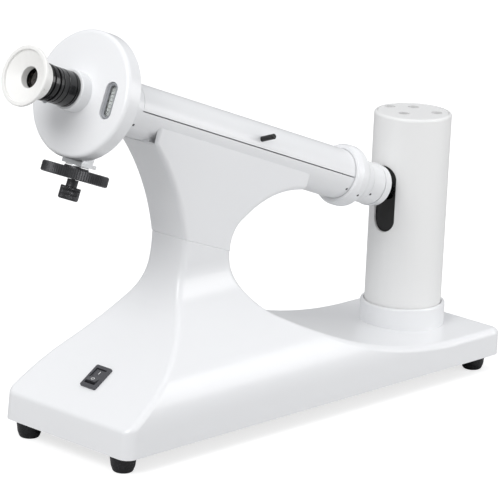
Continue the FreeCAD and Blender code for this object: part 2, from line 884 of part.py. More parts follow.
# ---------------------------------------------------------------- sample tube and lid
SCREW_ANGLE = -120.0
TUBE_SCREWS = ((-78.3, SCREW_ANGLE), (181.2, -124.0))
HINGE_STATIONS = (-48.0, 146.0)
LID_PIN_ANGLE = -68.7
LID_PIN_STATION = 39.4


def radial(radius, degrees, station, inward=True):
    """A place in the tube frame that looks at the axis, or away from it."""
    start = on_circle(radius, degrees, station)
    out = on_circle(1, degrees)
    return pointing(start, out * -1 if inward else out)


def hinge_line(low, high):
    """The hinge pin's line between two stations: its place, and its length."""
    start = Vector(size("hinge_up"), size("hinge_y"), low)
    return Placement(start, Rotation()), high - low


def tube_body():
    """The tube: a trough under the lid, closed at both ends by walls with a light hole."""
    body = turned("tube_body", [
        ("13", "spigot_rear"),
        ("spigot_radius", "spigot_rear"),
        ("spigot_radius", "tube_rear"),
        ("tube_radius", "tube_rear", "0.4"),
        ("tube_radius", "tube_front"),
        ("17", "tube_front"),
        ("17", "186"),
        ("light_hole", "186"),
        ("light_hole", "179.7"),
        ("trough_radius", "179.7"),
        ("trough_radius", "-76.2"),
        ("light_hole", "-76.2"),
        ("light_hole", "tube_rear"),
        ("13", "tube_rear"),
    ], TUBE)
    add_box(body, ("0", "-22", "lid_rear"), ("22", "44", "lid_front - lid_rear"), cut=True)
    for station in HINGE_STATIONS:
        place, length = hinge_line(station + 0.4, station + 0.4 + size("knuckle_length"))
        add_box(body, ("-1.6", "19.4", station + 0.4), ("1.8", "4.1", "knuckle_length"))
        add_cylinder(body, "knuckle_radius", length, place)
        add_cylinder(body, "hinge_pin_radius + running", length, place, cut=True)
    for station, angle in TUBE_SCREWS:
        add_cylinder(body, "set_screw_radius", "7", radial(21, angle, station), cut=True)


def lid():
    """Half of the tube's shell, with its share of the hinge knuckles and a finger pin."""
    body = new_body("lid", TUBE)
    section = new_sketch(body, "XZ_Plane")
    draw_outline(section, [
        ("trough_radius", "lid_rear + lid_gap"),
        ("tube_radius", "lid_rear + lid_gap"),
        ("tube_radius", "lid_front - lid_gap"),
        ("trough_radius", "lid_front - lid_gap"),
    ])
    revolve(body, section, angle=175.6)
    for station in HINGE_STATIONS:
        place, length = hinge_line(station - size("knuckle_length"), station)
        low = station - size("knuckle_length")
        add_box(body, ("0.6", "19.4", low), ("1.8", "4.1", "knuckle_length"))
        add_cylinder(body, "knuckle_radius", length, place)
        add_cylinder(body, "hinge_pin_radius + running", length, place, cut=True)
    add_cylinder(body, "1.25", "5", radial(22, LID_PIN_ANGLE, LID_PIN_STATION), cut=True)
    keep("lid", body)
    pin = new_body("hinge_pin", STAND)
    add_cylinder(pin, "hinge_pin_radius", "2 * knuckle_length + 1", Placement())
    places = []
    for station in HINGE_STATIONS:
        start = hinge_line(station - size("knuckle_length") - 0.3, station)[0]
        places.append(TUBE * start)
    group("hinge_pins", pin, places)
    outward = TUBE * radial(0, LID_PIN_ANGLE, LID_PIN_STATION, inward=False)
    turned("lid_pin", [
        ("0", "trough_radius + 0.3"),
        ("1.2", "trough_radius + 0.3"),
        ("1.2", "tube_radius + 0.05"),
        ("2.2", "tube_radius + 0.05"),
        ("2.2", "tube_radius + 13", "1.1"),
        ("0", "tube_radius + 13"),
    ], outward)


def rear_optics():
    """Collar, condenser barrel and lens cell behind the tube, with the optics they hold."""
    collar = turned("rear_collar", [
        ("spigot_radius + 0.05", "tube_rear - 0.3"),
        ("tube_radius + 0.3", "tube_rear - 0.3"),
        ("tube_radius + 0.3", "collar_front"),
        ("collar_radius - 1.8", "collar_front", "0.6"),
        ("collar_radius", "-86", "3"),
        ("collar_radius", "-92.5", "4"),
        ("18.6", "-103.5", "6"),
        ("17.5", "collar_rear"),
        ("12", "collar_rear"),
        ("12", "spigot_rear - 0.2"),
        ("spigot_radius + 0.05", "spigot_rear - 0.2"),
    ], TUBE)
    add_cylinder(collar, "set_screw_radius", "11", radial(27, SCREW_ANGLE, -89), cut=True)
    barrel = turned("condenser_barrel", [
        ("10.5", "-100.4"),
        ("11.95", "-100.4"),
        ("11.95", "collar_rear - 0.4"),
        ("barrel_radius", "collar_rear - 0.4", "0.5"),
        ("barrel_radius", "barrel_rear", "0.5"),
        ("12.5", "barrel_rear"),
        ("12.5", "-119.8"),
        ("optic_radius", "-119.8"),
        ("optic_radius", "-103.4"),
        ("10.5", "-103.4"),
    ], TUBE)
    add_cylinder(barrel, "set_screw_radius", "6", radial(18, SCREW_ANGLE, -112.5), cut=True)
    turned("lens_cell", [
        ("11.6", "-122.4"),
        ("12.4", "-122.4"),
        ("12.4", "barrel_rear - 0.4"),
        ("cell_radius", "barrel_rear - 0.4", "0.4"),
        ("cell_radius - 0.8", "cell_rear", "1"),
        ("9", "cell_rear"),
        ("9", "-131.5"),
        ("11.6", "-131.5"),
    ], TUBE)
    turned("condenser_lens", [
        ("0", "-131.4"),
        ("11.5", "-131.4"),
        ("11.5", "-129.4"),
        ("7.5", "-127.2", "14"),
        ("0", "-127.2"),
    ], TUBE)
    washer("colour_filter", "0", "12.4", "-121.9", "-119.9", TUBE)
    washer("polarizer", "0", "10.4", "-103.2", "-101.2", TUBE)
    washer("half_shade_plate", "0", "12.9", "-84.3", "-83.1", TUBE)


SET_SCREWS = [(station, 20.6, angle) for station, angle in TUBE_SCREWS]
SET_SCREWS += [(-89.0, 25.4, SCREW_ANGLE), (-112.5, 17.4, SCREW_ANGLE)]


def set_screws():
    """The sunk screws that hold tube, collar and barrel."""
    screw = new_body("set_screw", STAND)
    add_cylinder(screw, "set_screw_radius - 0.05", "4.5", Placement())
    add_cylinder(screw, "0.6", "1.4", Placement(Vector(0, 0, -0.1), Rotation()), cut=True)
    places = []
    for station, surface, angle in SET_SCREWS:
        places.append(TUBE * radial(surface - 0.15, angle, station))
    group("set_screws", screw, places)


# ---------------------------------------------------------------- drum and dial
DRUM_SCREW_ANGLES = (30.0, 150.0)
DRUM_SCREW_STATION = 216.5
WINDOW_SIDES = (-1, 1)


def gear_housing():
    body = turned("gear_housing", [
        ("tube_radius + 0.05", "187"),
        ("23", "187", "0.5"),
        ("23", "198"),
        ("housing_radius", "198", "0.6"),
        ("housing_radius", "drum_rear"),
        ("44.8", "drum_rear"),
        ("44.8", "218.5"),
        ("housing_radius - housing_wall", "218.5"),
        ("housing_radius - housing_wall", "200"),
        ("12.5", "200"),
        ("12.5", "tube_front + 0.4"),
        ("tube_radius + 0.05", "tube_front + 0.4"),
    ], TUBE)
    add_cylinder(body, "4.05", "6", radial(29, 180, size("shaft_station")), cut=True)
    for angle in DRUM_SCREW_ANGLES:
        add_cylinder(body, "1.4", "6", radial(46, angle, DRUM_SCREW_STATION), cut=True)


def drum_cover():
    """The drum: a domed cup over the dial, with two reading windows and a boss in front."""
    inside = "drum_radius - drum_wall"
    body = turned("drum_cover", [
        (inside, "drum_rear"),
        ("drum_radius", "drum_rear", "0.5"),
        ("drum_radius", "drum_front", "3.4"),
        ("boss_radius", "drum_front + crown_rise"),
        ("boss_radius", "boss_front", "0.6"),
        ("11.6", "boss_front"),
        ("11.6", "233.2"),
        ("12.5", "233.2"),
        ("12.5", "228.4"),
        (inside, "225", "1.5"),
    ], TUBE)
    for side in WINDOW_SIDES:
        opening = new_sketch(body, "XY_Plane", "220")
        draw_obround(opening, ("0", f"{side} * window_reach"), "window_length", "window_width")
        pocket(body, opening, "14", back=True)
    for angle in DRUM_SCREW_ANGLES:
        add_cylinder(body, "1.4", "6", radial(50, angle, DRUM_SCREW_STATION), cut=True)
    screw = new_body("drum_screw", STAND)
    add_cylinder(screw, "1.35", "6", Placement())
    add_cylinder(screw, "0.75", "1.6", Placement(Vector(0, 0, -0.1), Rotation()), cut=True)
    drum_radius = size("drum_radius")
    places = [TUBE * radial(drum_radius - 0.4, angle, DRUM_SCREW_STATION)
              for angle in DRUM_SCREW_ANGLES]
    group("drum_screws", screw, places)


def obround_plate(body, length, width, low, high):
    """Pad a round-ended plate between two stations of a tube-frame body."""
    sketch = new_sketch(body, "XY_Plane", low)
    draw_obround(sketch, ("0", "0"), length, width)
    pad(body, sketch, f"({high}) - ({low})")


def reading_windows():
    """Bevelled frames let into the drum, a glass in each, and the fixed vernier behind it."""
    frame = new_body("window_frame", STAND)
    obround_plate(frame, "window_length - 0.1", "window_width - 0.1", "226.2", "229")
    for lift, length, width, depth in (("226.1", 26.2, 8.4, "1.2"), ("227", 23.6, 5.8, "3")):
        sketch = new_sketch(frame, "XY_Plane", lift)
        draw_obround(sketch, ("0", "0"), length, width)
        pocket(frame, sketch, depth, back=True)
    round_edges(frame, "1.2", lambda box: box.ZMin > 228.9 and box.YLength < 6,
                "PartDesign::Chamfer")
    shifts = [Placement(Vector(0, side * size("window_reach"), 0), Rotation())
              for side in WINDOW_SIDES]
    places = [TUBE * shift for shift in shifts]
    group("window_frames", frame, places)
    glass = new_body("window_glass", STAND)
    obround_plate(glass, "26", "8.2", "226.25", "227.25")
    group("window_glasses", glass, places)
    plate = new_body("vernier_plate", STAND)
    section = new_sketch(plate, "XZ_Plane")
    draw_outline(section, [
        ("dial_radius + 0.4", "dial_rear"),
        ("40", "dial_rear"),
        ("40", "218.6"),
        ("43.5", "218.6"),
        ("43.5", "dial_rear + 1.5"),
        ("dial_radius + 0.4", "dial_rear + 1.5"),
    ])
    revolve(plate, section, angle=64)
    turns = [Rotation(Vector(0, 0, 1), side * 90) for side in WINDOW_SIDES]
    group("vernier_plates", plate, [TUBE * Placement(Vector(), turn) for turn in turns])


def dial():
    """The glass-reading dial on the analyser tube, which turns in two bearings."""
    turned("dial_disc", [
        ("hub_radius + 0.05", "219"),
        ("13", "219"),
        ("13", "dial_rear"),
        ("dial_radius", "dial_rear"),
        ("dial_radius", "dial_rear + 1.5"),
        ("hub_radius + 0.05", "dial_rear + 1.5"),
    ], TUBE)
    turned("analyser_tube", [
        ("7", "196.8"),
        ("hub_radius", "196.8"),
        ("hub_radius", "200.4"),
        ("11", "200.4"),
        ("11", "202.4"),
        ("hub_radius", "202.4"),
        ("hub_radius", "236.5"),
        ("7", "236.5"),
    ], TUBE)
    bearing = turned("dial_bearing", [
        ("hub_radius + running", "0"),
        ("12.45", "0"),
        ("12.45", "3.4"),
        ("hub_radius + running", "3.4"),
    ], STAND, keep_it=False)
    stations = (size("tube_front + 0.5"), size("boss_front - 12.2"))
    places = [TUBE * Placement(Vector(0, 0, station), Rotation()) for station in stations]
    group("dial_bearings", bearing, places)
    washer("analyser", "0", "6.95", "205", "207", TUBE)


# ---------------------------------------------------------------- bevel drive
CROWN_PROFILE = ((-1.05, 0.842), (0.58, 0.249))
PINION_PROFILE = ((-1.05, 0.52), (0.0, 0.46), (0.58, 0.22))
SMALL_END = 0.78


def bevel_tooth(own_radius, mate_radius, profile):
    """One tooth at azimuth 0: the same outline at both ends, scaled towards the apex."""
    reach = math.hypot(own_radius, mate_radius)
    along = Vector(own_radius / reach, 0, mate_radius / reach)
    outward = Vector(mate_radius / reach, 0, -own_radius / reach)
    pitch_point = along * reach
    right = [pitch_point + outward * rise + Vector(0, half, 0) for rise, half in profile]
    left = [Vector(point.x, -point.y, point.z) for point in reversed(right)]
    outline = right + left
    ends = []
    for scale in (SMALL_END, 1.0):
        points = [point * scale for point in outline]
        ends.append(Part.makePolygon(points + points[:1]))
    return Part.makeLoft(ends, True, True)


def bevel_gear(label, teeth, mate, profile, first, blank, place):
    """A straight bevel gear on a turned blank; the apex of both gears is the frame's origin."""
    own_radius = size(f"gear_module * {teeth} / 2")
    mate_radius = size(f"gear_module * {mate} / 2")
    count = int(size(teeth))
    tooth = bevel_tooth(own_radius, mate_radius, profile)
    whole = turned(label + "_blank", blank, STAND, keep_it=False)
    doc.recompute()
    ring = []
    for index in range(count):
        copy = tooth.copy()
        copy.rotate(Vector(), Vector(0, 0, 1), first + index * 360 / count)
        ring.append(copy)
    gear = doc.addObject("Part::Feature", label)
    gear.Shape = whole.Shape.multiFuse(ring)
    gear.Placement = place
    keep(label, gear)


def bevel_drive():
    """A 60-tooth crown on the analyser tube, driven by a 15-tooth pinion on the shaft."""
    apex = TUBE * Placement(Vector(0, 0, size("shaft_station")), Rotation())
    bevel_gear("crown_gear", "crown_teeth", "pinion_teeth", CROWN_PROFILE, 0, [
        ("hub_radius + 0.05", "3.9"),
        ("15.04", "4.42"),
        ("19.99", "5.88"),
        ("19.2", "9"),
        ("hub_radius + 0.05", "9"),
    ], apex)
    bevel_gear("pinion", "pinion_teeth", "crown_teeth", PINION_PROFILE, 12, [
        ("2.05", "15"),
        ("3.17", "15.36"),
        ("4.217", "20.41"),
        ("4", "21.2"),
        ("2.05", "21.2"),
    ], SHAFT)


# ---------------------------------------------------------------- handwheels
WHEEL_KNURLS = 84


def knob_bracket():
    """The arm under the drum that carries the handwheel shaft, and the bush in it."""
    body = new_body("knob_bracket", SHAFT)
    add_box(body, ("-7", "-9", "25.5"), ("11.7", "18", "24"))
    add_box(body, ("-9.5", "-10.5", "49"), ("16.2", "21", "3"))
    saddle = pointing(Vector(-20, 0, 0), Vector(1, 0, 0))
    add_cylinder(body, "housing_radius + 0.05", "40", saddle, cut=True)
    start = Placement(Vector(0, 0, 20), Rotation())
    add_cylinder(body, "4.05", "40", start, cut=True)
    keep("knob_bracket", body)
    turned("shaft_bush", [
        ("shaft_radius + running", "24.6"),
        ("4", "24.6"),
        ("4", "52.05"),
        ("9", "52.05"),
        ("9", "52.9"),
        ("shaft_radius + running", "52.9"),
    ], SHAFT)


def knurled(body_shape, count, outer, depth, low, high):
    """Cut straight knurls into a turned piece: what it shares with a many-pointed star."""
    points = []
    for index in range(2 * count):
        radius = outer if index % 2 == 0 else outer - depth
        points.append(on_circle(radius, index * 180 / count, low))
    star = Part.Face(Part.makePolygon(points + points[:1]))
    return body_shape.common(star.extrude(Vector(0, 0, high - low)))


def handwheels():
    """The shaft, the large coarse wheel on it, and the small fine knob below."""
    turned("drive_shaft", [
        ("0", "15.2"),
        ("2", "15.2"),
        ("2", "21.4"),
        ("shaft_radius", "21.4"),
        ("shaft_radius", "wheel_bottom"),
        ("1.55", "wheel_bottom"),
        ("1.55", "50"),
        ("0", "50"),
    ], SHAFT)
    blank = turned("coarse_blank", [
        ("shaft_radius + 0.05", "53.3"),
        ("9.5", "53.3"),
        ("9.5", "wheel_top"),
        ("wheel_radius - 1", "wheel_top"),
        ("wheel_radius", "wheel_top + 1"),
        ("wheel_radius", "wheel_bottom - 1"),
        ("wheel_radius - 1", "wheel_bottom"),
        ("shaft_radius + 0.05", "wheel_bottom"),
    ], STAND, keep_it=False)
    doc.recompute()
    wheel = doc.addObject("Part::Feature", "coarse_wheel")
    wheel.Shape = knurled(blank.Shape, WHEEL_KNURLS, size("wheel_radius"), 0.55, 50, 65)
    wheel.Placement = SHAFT
    keep("coarse_wheel", wheel)
    turned("fine_knob", [
        ("0", "51"),
        ("1.5", "51"),
        ("1.5", "wheel_bottom + 0.3"),
        ("4.3", "wheel_bottom + 0.3"),
        ("4.3", "knob_top"),
        ("knob_radius", "knob_top", "0.8"),
        ("knob_radius", "knob_bottom", "0.8"),
        ("0", "knob_bottom"),
    ], SHAFT)


# ---------------------------------------------------------------- eyepiece
CUP_SCREW_ANGLE = -112.8


def eyepiece():
    """A fixed sleeve, the focus ring on it, and the sliding eyepiece with its eyecup."""
    turned("eyepiece_sleeve", [
        ("10.1", "237.5"),
        ("sleeve_radius", "237.5"),
        ("sleeve_radius", "255.5"),
        ("10.1", "255.5"),
    ], TUBE)
    washer("objective_lens", "0", "10", "238", "241", TUBE)
    turned("focus_ring", [
        ("sleeve_radius + running", "241.9"),
        ("focus_radius", "241.9", "0.4"),
        ("focus_radius", "244.4"),
        ("focus_radius - 0.7", "244.7"),
        ("focus_radius - 0.7", "245.3"),
        ("focus_radius", "245.6"),
        ("focus_radius", "252.8"),
        ("focus_radius - 0.6", "253.1"),
        ("focus_radius - 0.6", "253.7"),
        ("focus_radius", "254"),
        ("focus_radius", "258.2"),
        ("focus_radius - 0.6", "258.5"),
        ("focus_radius - 0.6", "259.1"),
        ("focus_radius", "259.4"),
        ("focus_radius", "ring_front", "0.4"),
        ("12.9", "ring_front"),
        ("12.9", "256"),
        ("sleeve_radius + running", "256"),
    ], TUBE)
    turned("eyepiece_barrel", [
        ("8.6", "246"),
        ("slider_radius", "246"),
        ("slider_radius", "259.5"),
        ("12.6", "259.5"),
        ("12.6", "264.8"),
        ("14.1", "264.8", "0.4"),
        ("14.1", "268.2"),
        ("13.2", "268.6"),
        ("13.2", "269.6"),
        ("14.1", "270"),
        ("14.1", "barrel_front", "0.4"),
        ("12.6", "barrel_front"),
        ("12.6", "276.5"),
        ("8.6", "276.5"),
    ], TUBE)
    cup = turned("eyecup", [
        ("12.65", "barrel_front + 0.15"),
        ("cup_neck", "barrel_front + 0.15", "0.5"),
        ("cup_neck", "284", "2.4"),
        ("cup_radius", "286.2", "0.7"),
        ("cup_radius", "cup_front", "0.9"),
        ("cup_radius - 3", "cup_front", "0.5"),
        ("cup_radius - 3.3", "287", "0.3"),
        ("8.1", "282.8", "0.6"),
        ("8.1", "277"),
        ("12.65", "277"),
    ], TUBE)
    add_cylinder(cup, "1.4", "6", radial(17, CUP_SCREW_ANGLE, 279.4), cut=True)
    screw = new_body("eyecup_screw", TUBE * radial(14.6, CUP_SCREW_ANGLE, 279.4))
    add_cylinder(screw, "1.35", "3.2", Placement())
    add_cylinder(screw, "0.75", "1.4", Placement(Vector(0, 0, -0.1), Rotation()), cut=True)
    keep("eyecup_screw", screw)
    turned("eye_lens", [
        ("0", "271.5"),
        ("8.55", "271.5"),
        ("8.55", "274"),
        ("4.5", "275.8", "9"),
        ("0", "275.8"),
    ], TUBE)


# ---------------------------------------------------------------- build, check and export
def build_all():
    base_casting()
    base_plate()
    base_fasteners()
    tube_bracket()
    neck_bolts()
    mains_inlet()
    choke()
    terminal_block()
    rocker_switch()
    lamp_column()
    lamp_cap()
    lamp()
    tube_body()
    lid()
    rear_optics()
    set_screws()
    gear_housing()
    drum_cover()
    reading_windows()
    dial()
    bevel_drive()
    knob_bracket()
    handwheels()
    eyepiece()


def check_document():
    """Stop on any object in error, and on any sub-part without a sound shape."""
    doc.recompute()
    for thing in doc.Objects:
        if {"Invalid", "Error"} & set(thing.State):
            raise RuntimeError(f"{thing.Label}: {thing.State}")
    for label, thing in nodes.items():
        if thing.Shape.isNull() or not thing.Shape.isValid():
            raise RuntimeError(f"{label}: no valid shape")


build_all()
check_document()
os.makedirs("parts", exist_ok=True)
for label, thing in nodes.items():
    thing.Shape.exportStep(f"parts/{label}.step")
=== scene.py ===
"""Looks of the disc polarimeter: materials, printed scales, knurls, studio and camera.

Metres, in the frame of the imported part.  The optical axis is read from the dial's joint, and
stations are distances along it, in millimetres, as the part's own drawing gives them.
"""

import json
import math

import bmesh
import bpy
from mathutils import Matrix, Quaternion, Vector


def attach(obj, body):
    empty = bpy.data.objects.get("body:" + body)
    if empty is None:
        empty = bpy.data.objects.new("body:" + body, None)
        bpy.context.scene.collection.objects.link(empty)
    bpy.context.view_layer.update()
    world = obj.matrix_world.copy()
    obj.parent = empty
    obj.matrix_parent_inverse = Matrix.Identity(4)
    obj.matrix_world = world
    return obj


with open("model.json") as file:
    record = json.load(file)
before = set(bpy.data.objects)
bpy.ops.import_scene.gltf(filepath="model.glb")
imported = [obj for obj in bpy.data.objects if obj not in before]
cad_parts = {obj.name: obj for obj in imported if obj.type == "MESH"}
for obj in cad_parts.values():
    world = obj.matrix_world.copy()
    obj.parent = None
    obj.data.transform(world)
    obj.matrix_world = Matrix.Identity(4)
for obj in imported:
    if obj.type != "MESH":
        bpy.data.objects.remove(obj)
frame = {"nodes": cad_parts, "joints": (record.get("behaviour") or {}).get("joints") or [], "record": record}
nodes = frame["nodes"]
joints = {joint["name"]: joint for joint in frame["joints"]}
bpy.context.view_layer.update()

MM = 0.001
DIAL_JOINT_STATION = 215.0
CAD_CORNER = math.radians(32)


# ---------------------------------------------------------------- frames
def joint_frame(name, back=0.0):
    """A matrix at a joint: +Z along its axis, +Y as the row's, moved back along the axis."""
    axis = Vector(joints[name]["axis"]).normalized()
    side = Vector((0, 1, 0))
    across = side.cross(axis).normalized()
    origin = Vector(joints[name]["pos_m"]) - axis * back
    turn = Matrix((across, side, axis)).transposed().to_4x4()
    return Matrix.Translation(origin) @ turn


TUBE = joint_frame("dial_turn", DIAL_JOINT_STATION * MM)
FINE_KNOB = joint_frame("fine_knob_turn")


# ---------------------------------------------------------------- materials
def shader_of(material):
    return material.node_tree.nodes["Principled BSDF"]


def new_material(name, colour, roughness, **sockets):
    """A Principled shader; what is the same all over is set on the shader itself."""
    material = bpy.data.materials.new(name)
    material.use_nodes = True
    shader = shader_of(material)
    shader.inputs["Base Color"].default_value = (*colour, 1.0)
    shader.inputs["Roughness"].default_value = roughness
    for socket, value in sockets.items():
        shader.inputs[socket.replace("_", " ")].default_value = value
    return material


def add_node(material, kind):
    return material.node_tree.nodes.new(kind)


def show(material, shading):
    """Make this shading, in place of the plain Principled shader, what the surface shows."""
    tree = material.node_tree
    tree.links.new(shading, tree.nodes["Material Output"].inputs["Surface"])


NOISE_LOW = 0.1
NOISE_HIGH = 0.9
RAMP_ENDS = (0.15, 0.85)


def noise(material, size, detail=1.5, stretch=(1, 1, 1)):
    """Noise whose features are about this size, in metres, over the object's own coordinates."""
    links = material.node_tree.links
    place = add_node(material, "ShaderNodeTexCoord")
    scale = add_node(material, "ShaderNodeMapping")
    scale.inputs["Scale"].default_value = stretch
    texture = add_node(material, "ShaderNodeTexNoise")
    texture.inputs["Scale"].default_value = 1 / size
    texture.inputs["Detail"].default_value = detail
    links.new(place.outputs["Object"], scale.inputs["Vector"])
    links.new(scale.outputs["Vector"], texture.inputs["Vector"])
    return texture.outputs["Fac"]


def remap(material, value, low, high):
    """Spread the range that noise mostly keeps to over the range from low to high."""
    node = add_node(material, "ShaderNodeMapRange")
    node.inputs["From Min"].default_value = NOISE_LOW
    node.inputs["From Max"].default_value = NOISE_HIGH
    node.inputs["To Min"].default_value = low
    node.inputs["To Max"].default_value = high
    material.node_tree.links.new(value, node.inputs["Value"])
    return node.outputs["Result"]


def uneven_gloss(material, low, high, size):
    """Roughness that wanders between two values, like handled and wiped surfaces."""
    value = remap(material, noise(material, size), low, high)
    material.node_tree.links.new(value, shader_of(material).inputs["Roughness"])


def uneven_colour(material, dark, light, size):
    """Base colour that wanders between two close colours."""
    ramp = add_node(material, "ShaderNodeValToRGB")
    for element, colour, place in zip(ramp.color_ramp.elements, (dark, light), RAMP_ENDS):
        element.position = place
        element.color = (*colour, 1.0)
    material.node_tree.links.new(noise(material, size), ramp.inputs["Fac"])
    material.node_tree.links.new(ramp.outputs["Color"], shader_of(material).inputs["Base Color"])


def relief(material, size, height, detail=2.0, stretch=(1, 1, 1)):
    """Fine surface relief as bump, its features about this size and height, in metres."""
    links = material.node_tree.links
    bump = add_node(material, "ShaderNodeBump")
    bump.inputs["Distance"].default_value = height
    bump.inputs["Strength"].default_value = 1.0
    links.new(noise(material, size, detail, stretch), bump.inputs["Height"])
    links.new(bump.outputs["Normal"], shader_of(material).inputs["Normal"])


def enamel(name, colour, shade, roughness, coat=0.25):
    """Sprayed enamel: faint orange peel, and colour and gloss that drift slowly."""
    material = new_material(name, colour, roughness, Coat_Weight=coat, Coat_Roughness=0.12)
    uneven_colour(material, shade, colour, size=0.25)
    uneven_gloss(material, roughness - 0.03, roughness + 0.03, size=0.12)
    relief(material, size=0.0016, height=0.000006)
    return material


def moulded_plastic(name, colour, roughness, grain=0.000010):
    """Moulded plastic: a fine even grain, and gloss that varies as handling leaves it."""
    material = new_material(name, colour, roughness, Specular_IOR_Level=0.5)
    uneven_gloss(material, roughness - 0.04, roughness + 0.06, size=0.008)
    relief(material, size=0.0007, height=grain)
    return material


def turned_metal(name, colour, roughness, dark):
    """Machined metal: close tool marks around the axis, and stains that vary its colour."""
    material = new_material(name, colour, roughness, Metallic=1.0)
    uneven_colour(material, dark, colour, size=0.006)
    uneven_gloss(material, roughness - 0.06, roughness + 0.08, size=0.004)
    relief(material, size=0.0005, height=0.000008, detail=4.0, stretch=(1, 1, 6))
    return material


GLASS_ROUGHNESS = 0.02
GLASS_SMEAR = 0.03
CROWN_GLASS_IOR = 1.52
PANE_SHINE = 0.06


def polished(name, colour, **sockets):
    """A polished surface with faint smears."""
    material = new_material(name, colour, GLASS_ROUGHNESS, **sockets)
    uneven_gloss(material, GLASS_ROUGHNESS, GLASS_ROUGHNESS + GLASS_SMEAR, size=0.004)
    return material


def optical_glass(name, colour):
    """A bloomed lens or filter, tinted by its colour."""
    return polished(name, colour, Transmission_Weight=1.0, IOR=CROWN_GLASS_IOR, Coat_Weight=0.5,
                    Coat_Roughness=GLASS_ROUGHNESS)


def thin_glass(name, colour):
    """A flat pane: it lets light straight through, and shines more when seen at a slant."""
    material = polished(name, colour)
    tree = material.node_tree
    clear = add_node(material, "ShaderNodeBsdfTransparent")
    clear.inputs["Color"].default_value = (*colour, 1.0)
    facing = add_node(material, "ShaderNodeLayerWeight")
    facing.inputs["Blend"].default_value = PANE_SHINE
    mix = add_node(material, "ShaderNodeMixShader")
    tree.links.new(facing.outputs["Facing"], mix.inputs["Fac"])
    tree.links.new(clear.outputs["BSDF"], mix.inputs[1])
    tree.links.new(shader_of(material).outputs["BSDF"], mix.inputs[2])
    show(material, mix.outputs["Shader"])
    return material


RUBBER_BLOOM = 2.2


def rubber(name, colour, roughness):
    """Soft black rubber with a pale bloom in places."""
    material = new_material(name, colour, roughness, Specular_IOR_Level=0.5)
    uneven_gloss(material, roughness - 0.06, roughness + 0.12, size=0.005)
    uneven_colour(material, colour, tuple(part * RUBBER_BLOOM for part in colour), size=0.004)
    relief(material, size=0.0006, height=0.00002, detail=4.0)
    return material


def winding(name, colour, dark):
    """Enamelled wire under varnished tape: close ridges along the coil."""
    material = new_material(name, colour, roughness=0.45)
    uneven_colour(material, dark, colour, size=0.003)
    relief(material, size=0.0006, height=0.00015, stretch=(1, 1, 0.05))
    return material


MATERIALS = {
    "white_enamel": enamel("white_enamel", (0.86, 0.865, 0.875), (0.84, 0.846, 0.858), 0.30),
    "grey_enamel": enamel("grey_enamel", (0.86, 0.86, 0.855), (0.845, 0.845, 0.838), 0.42),
    "cream_plastic": moulded_plastic("cream_plastic", (0.87, 0.865, 0.845), 0.32),
    "black_lacquer": enamel("black_lacquer", (0.004, 0.004, 0.005), (0.003, 0.003, 0.004), 0.16,
                            coat=0.03),
    "black_anodised": turned_metal("black_anodised", (0.12, 0.12, 0.125), 0.32,
                                   (0.06, 0.06, 0.063)),
    "matte_black": moulded_plastic("matte_black", (0.019, 0.019, 0.019), 0.8, grain=0.00003),
    "silver": turned_metal("silver", (0.82, 0.83, 0.84), 0.32, (0.74, 0.75, 0.76)),
    "steel": turned_metal("steel", (0.62, 0.62, 0.63), 0.28, (0.50, 0.50, 0.51)),
    "screw_steel": turned_metal("screw_steel", (0.16, 0.16, 0.165), 0.40, (0.08, 0.08, 0.08)),
    "brass": turned_metal("brass", (0.80, 0.60, 0.28), 0.30, (0.62, 0.44, 0.18)),
    "rubber": rubber("rubber", (0.004, 0.004, 0.005), 0.22),
    "black_plastic": moulded_plastic("black_plastic", (0.062, 0.062, 0.070), 0.24),
    "ceramic": moulded_plastic("ceramic", (0.80, 0.78, 0.72), 0.18),
    "winding": winding("winding", (0.50, 0.26, 0.07), (0.34, 0.16, 0.04)),
    "lamination": turned_metal("lamination", (0.16, 0.16, 0.17), 0.5, (0.08, 0.07, 0.07)),
    "lens_glass": optical_glass("lens_glass", (0.80, 0.70, 0.62)),
    "clear_glass": thin_glass("clear_glass", (0.97, 0.98, 0.975)),
    "amber_glass": optical_glass("amber_glass", (0.90, 0.52, 0.08)),
    "polarizing_film": optical_glass("polarizing_film", (0.22, 0.25, 0.22)),
    "scale_white": enamel("scale_white", (0.88, 0.885, 0.885), (0.86, 0.865, 0.865), 0.5),
    "frame_grey": enamel("frame_grey", (0.34, 0.35, 0.37), (0.30, 0.31, 0.33), 0.30),
}
BLACK_INK = moulded_plastic("black_ink", (0.015, 0.015, 0.017), 0.5)
WHITE_INK = moulded_plastic("white_ink", (0.85, 0.85, 0.84), 0.45)


def finish_cad_nodes():
    """Each CAD node takes its slot's material, and shades smooth up to its real corners."""
    slot_of = {entry["node"]: entry["material_slot"] for entry in frame["record"]["subparts"]}
    for name, thing in nodes.items():
        thing.data.materials.clear()
        thing.data.materials.append(MATERIALS[slot_of[name]])
        thing.data.set_sharp_from_angle(angle=CAD_CORNER)


# ---------------------------------------------------------------- printed marks
INK = 0.05 * MM
BAR_FACES = ((0, 2, 4, 6), (1, 7, 5, 3), (0, 1, 3, 2), (2, 3, 5, 4), (4, 5, 7, 6), (6, 7, 1, 0))


def add_mark(form, place, width, length):
    """A printed line: a thin flat bar, long along the place's X."""
    corners = [Vector((x * length / 2, y * width / 2, z * INK))
               for x, y in ((-1, -1), (1, -1), (1, 1), (-1, 1)) for z in (0, 1)]
    points = [form.verts.new(place @ corner) for corner in corners]
    for face in BAR_FACES:
        form.faces.new([points[i] for i in face])


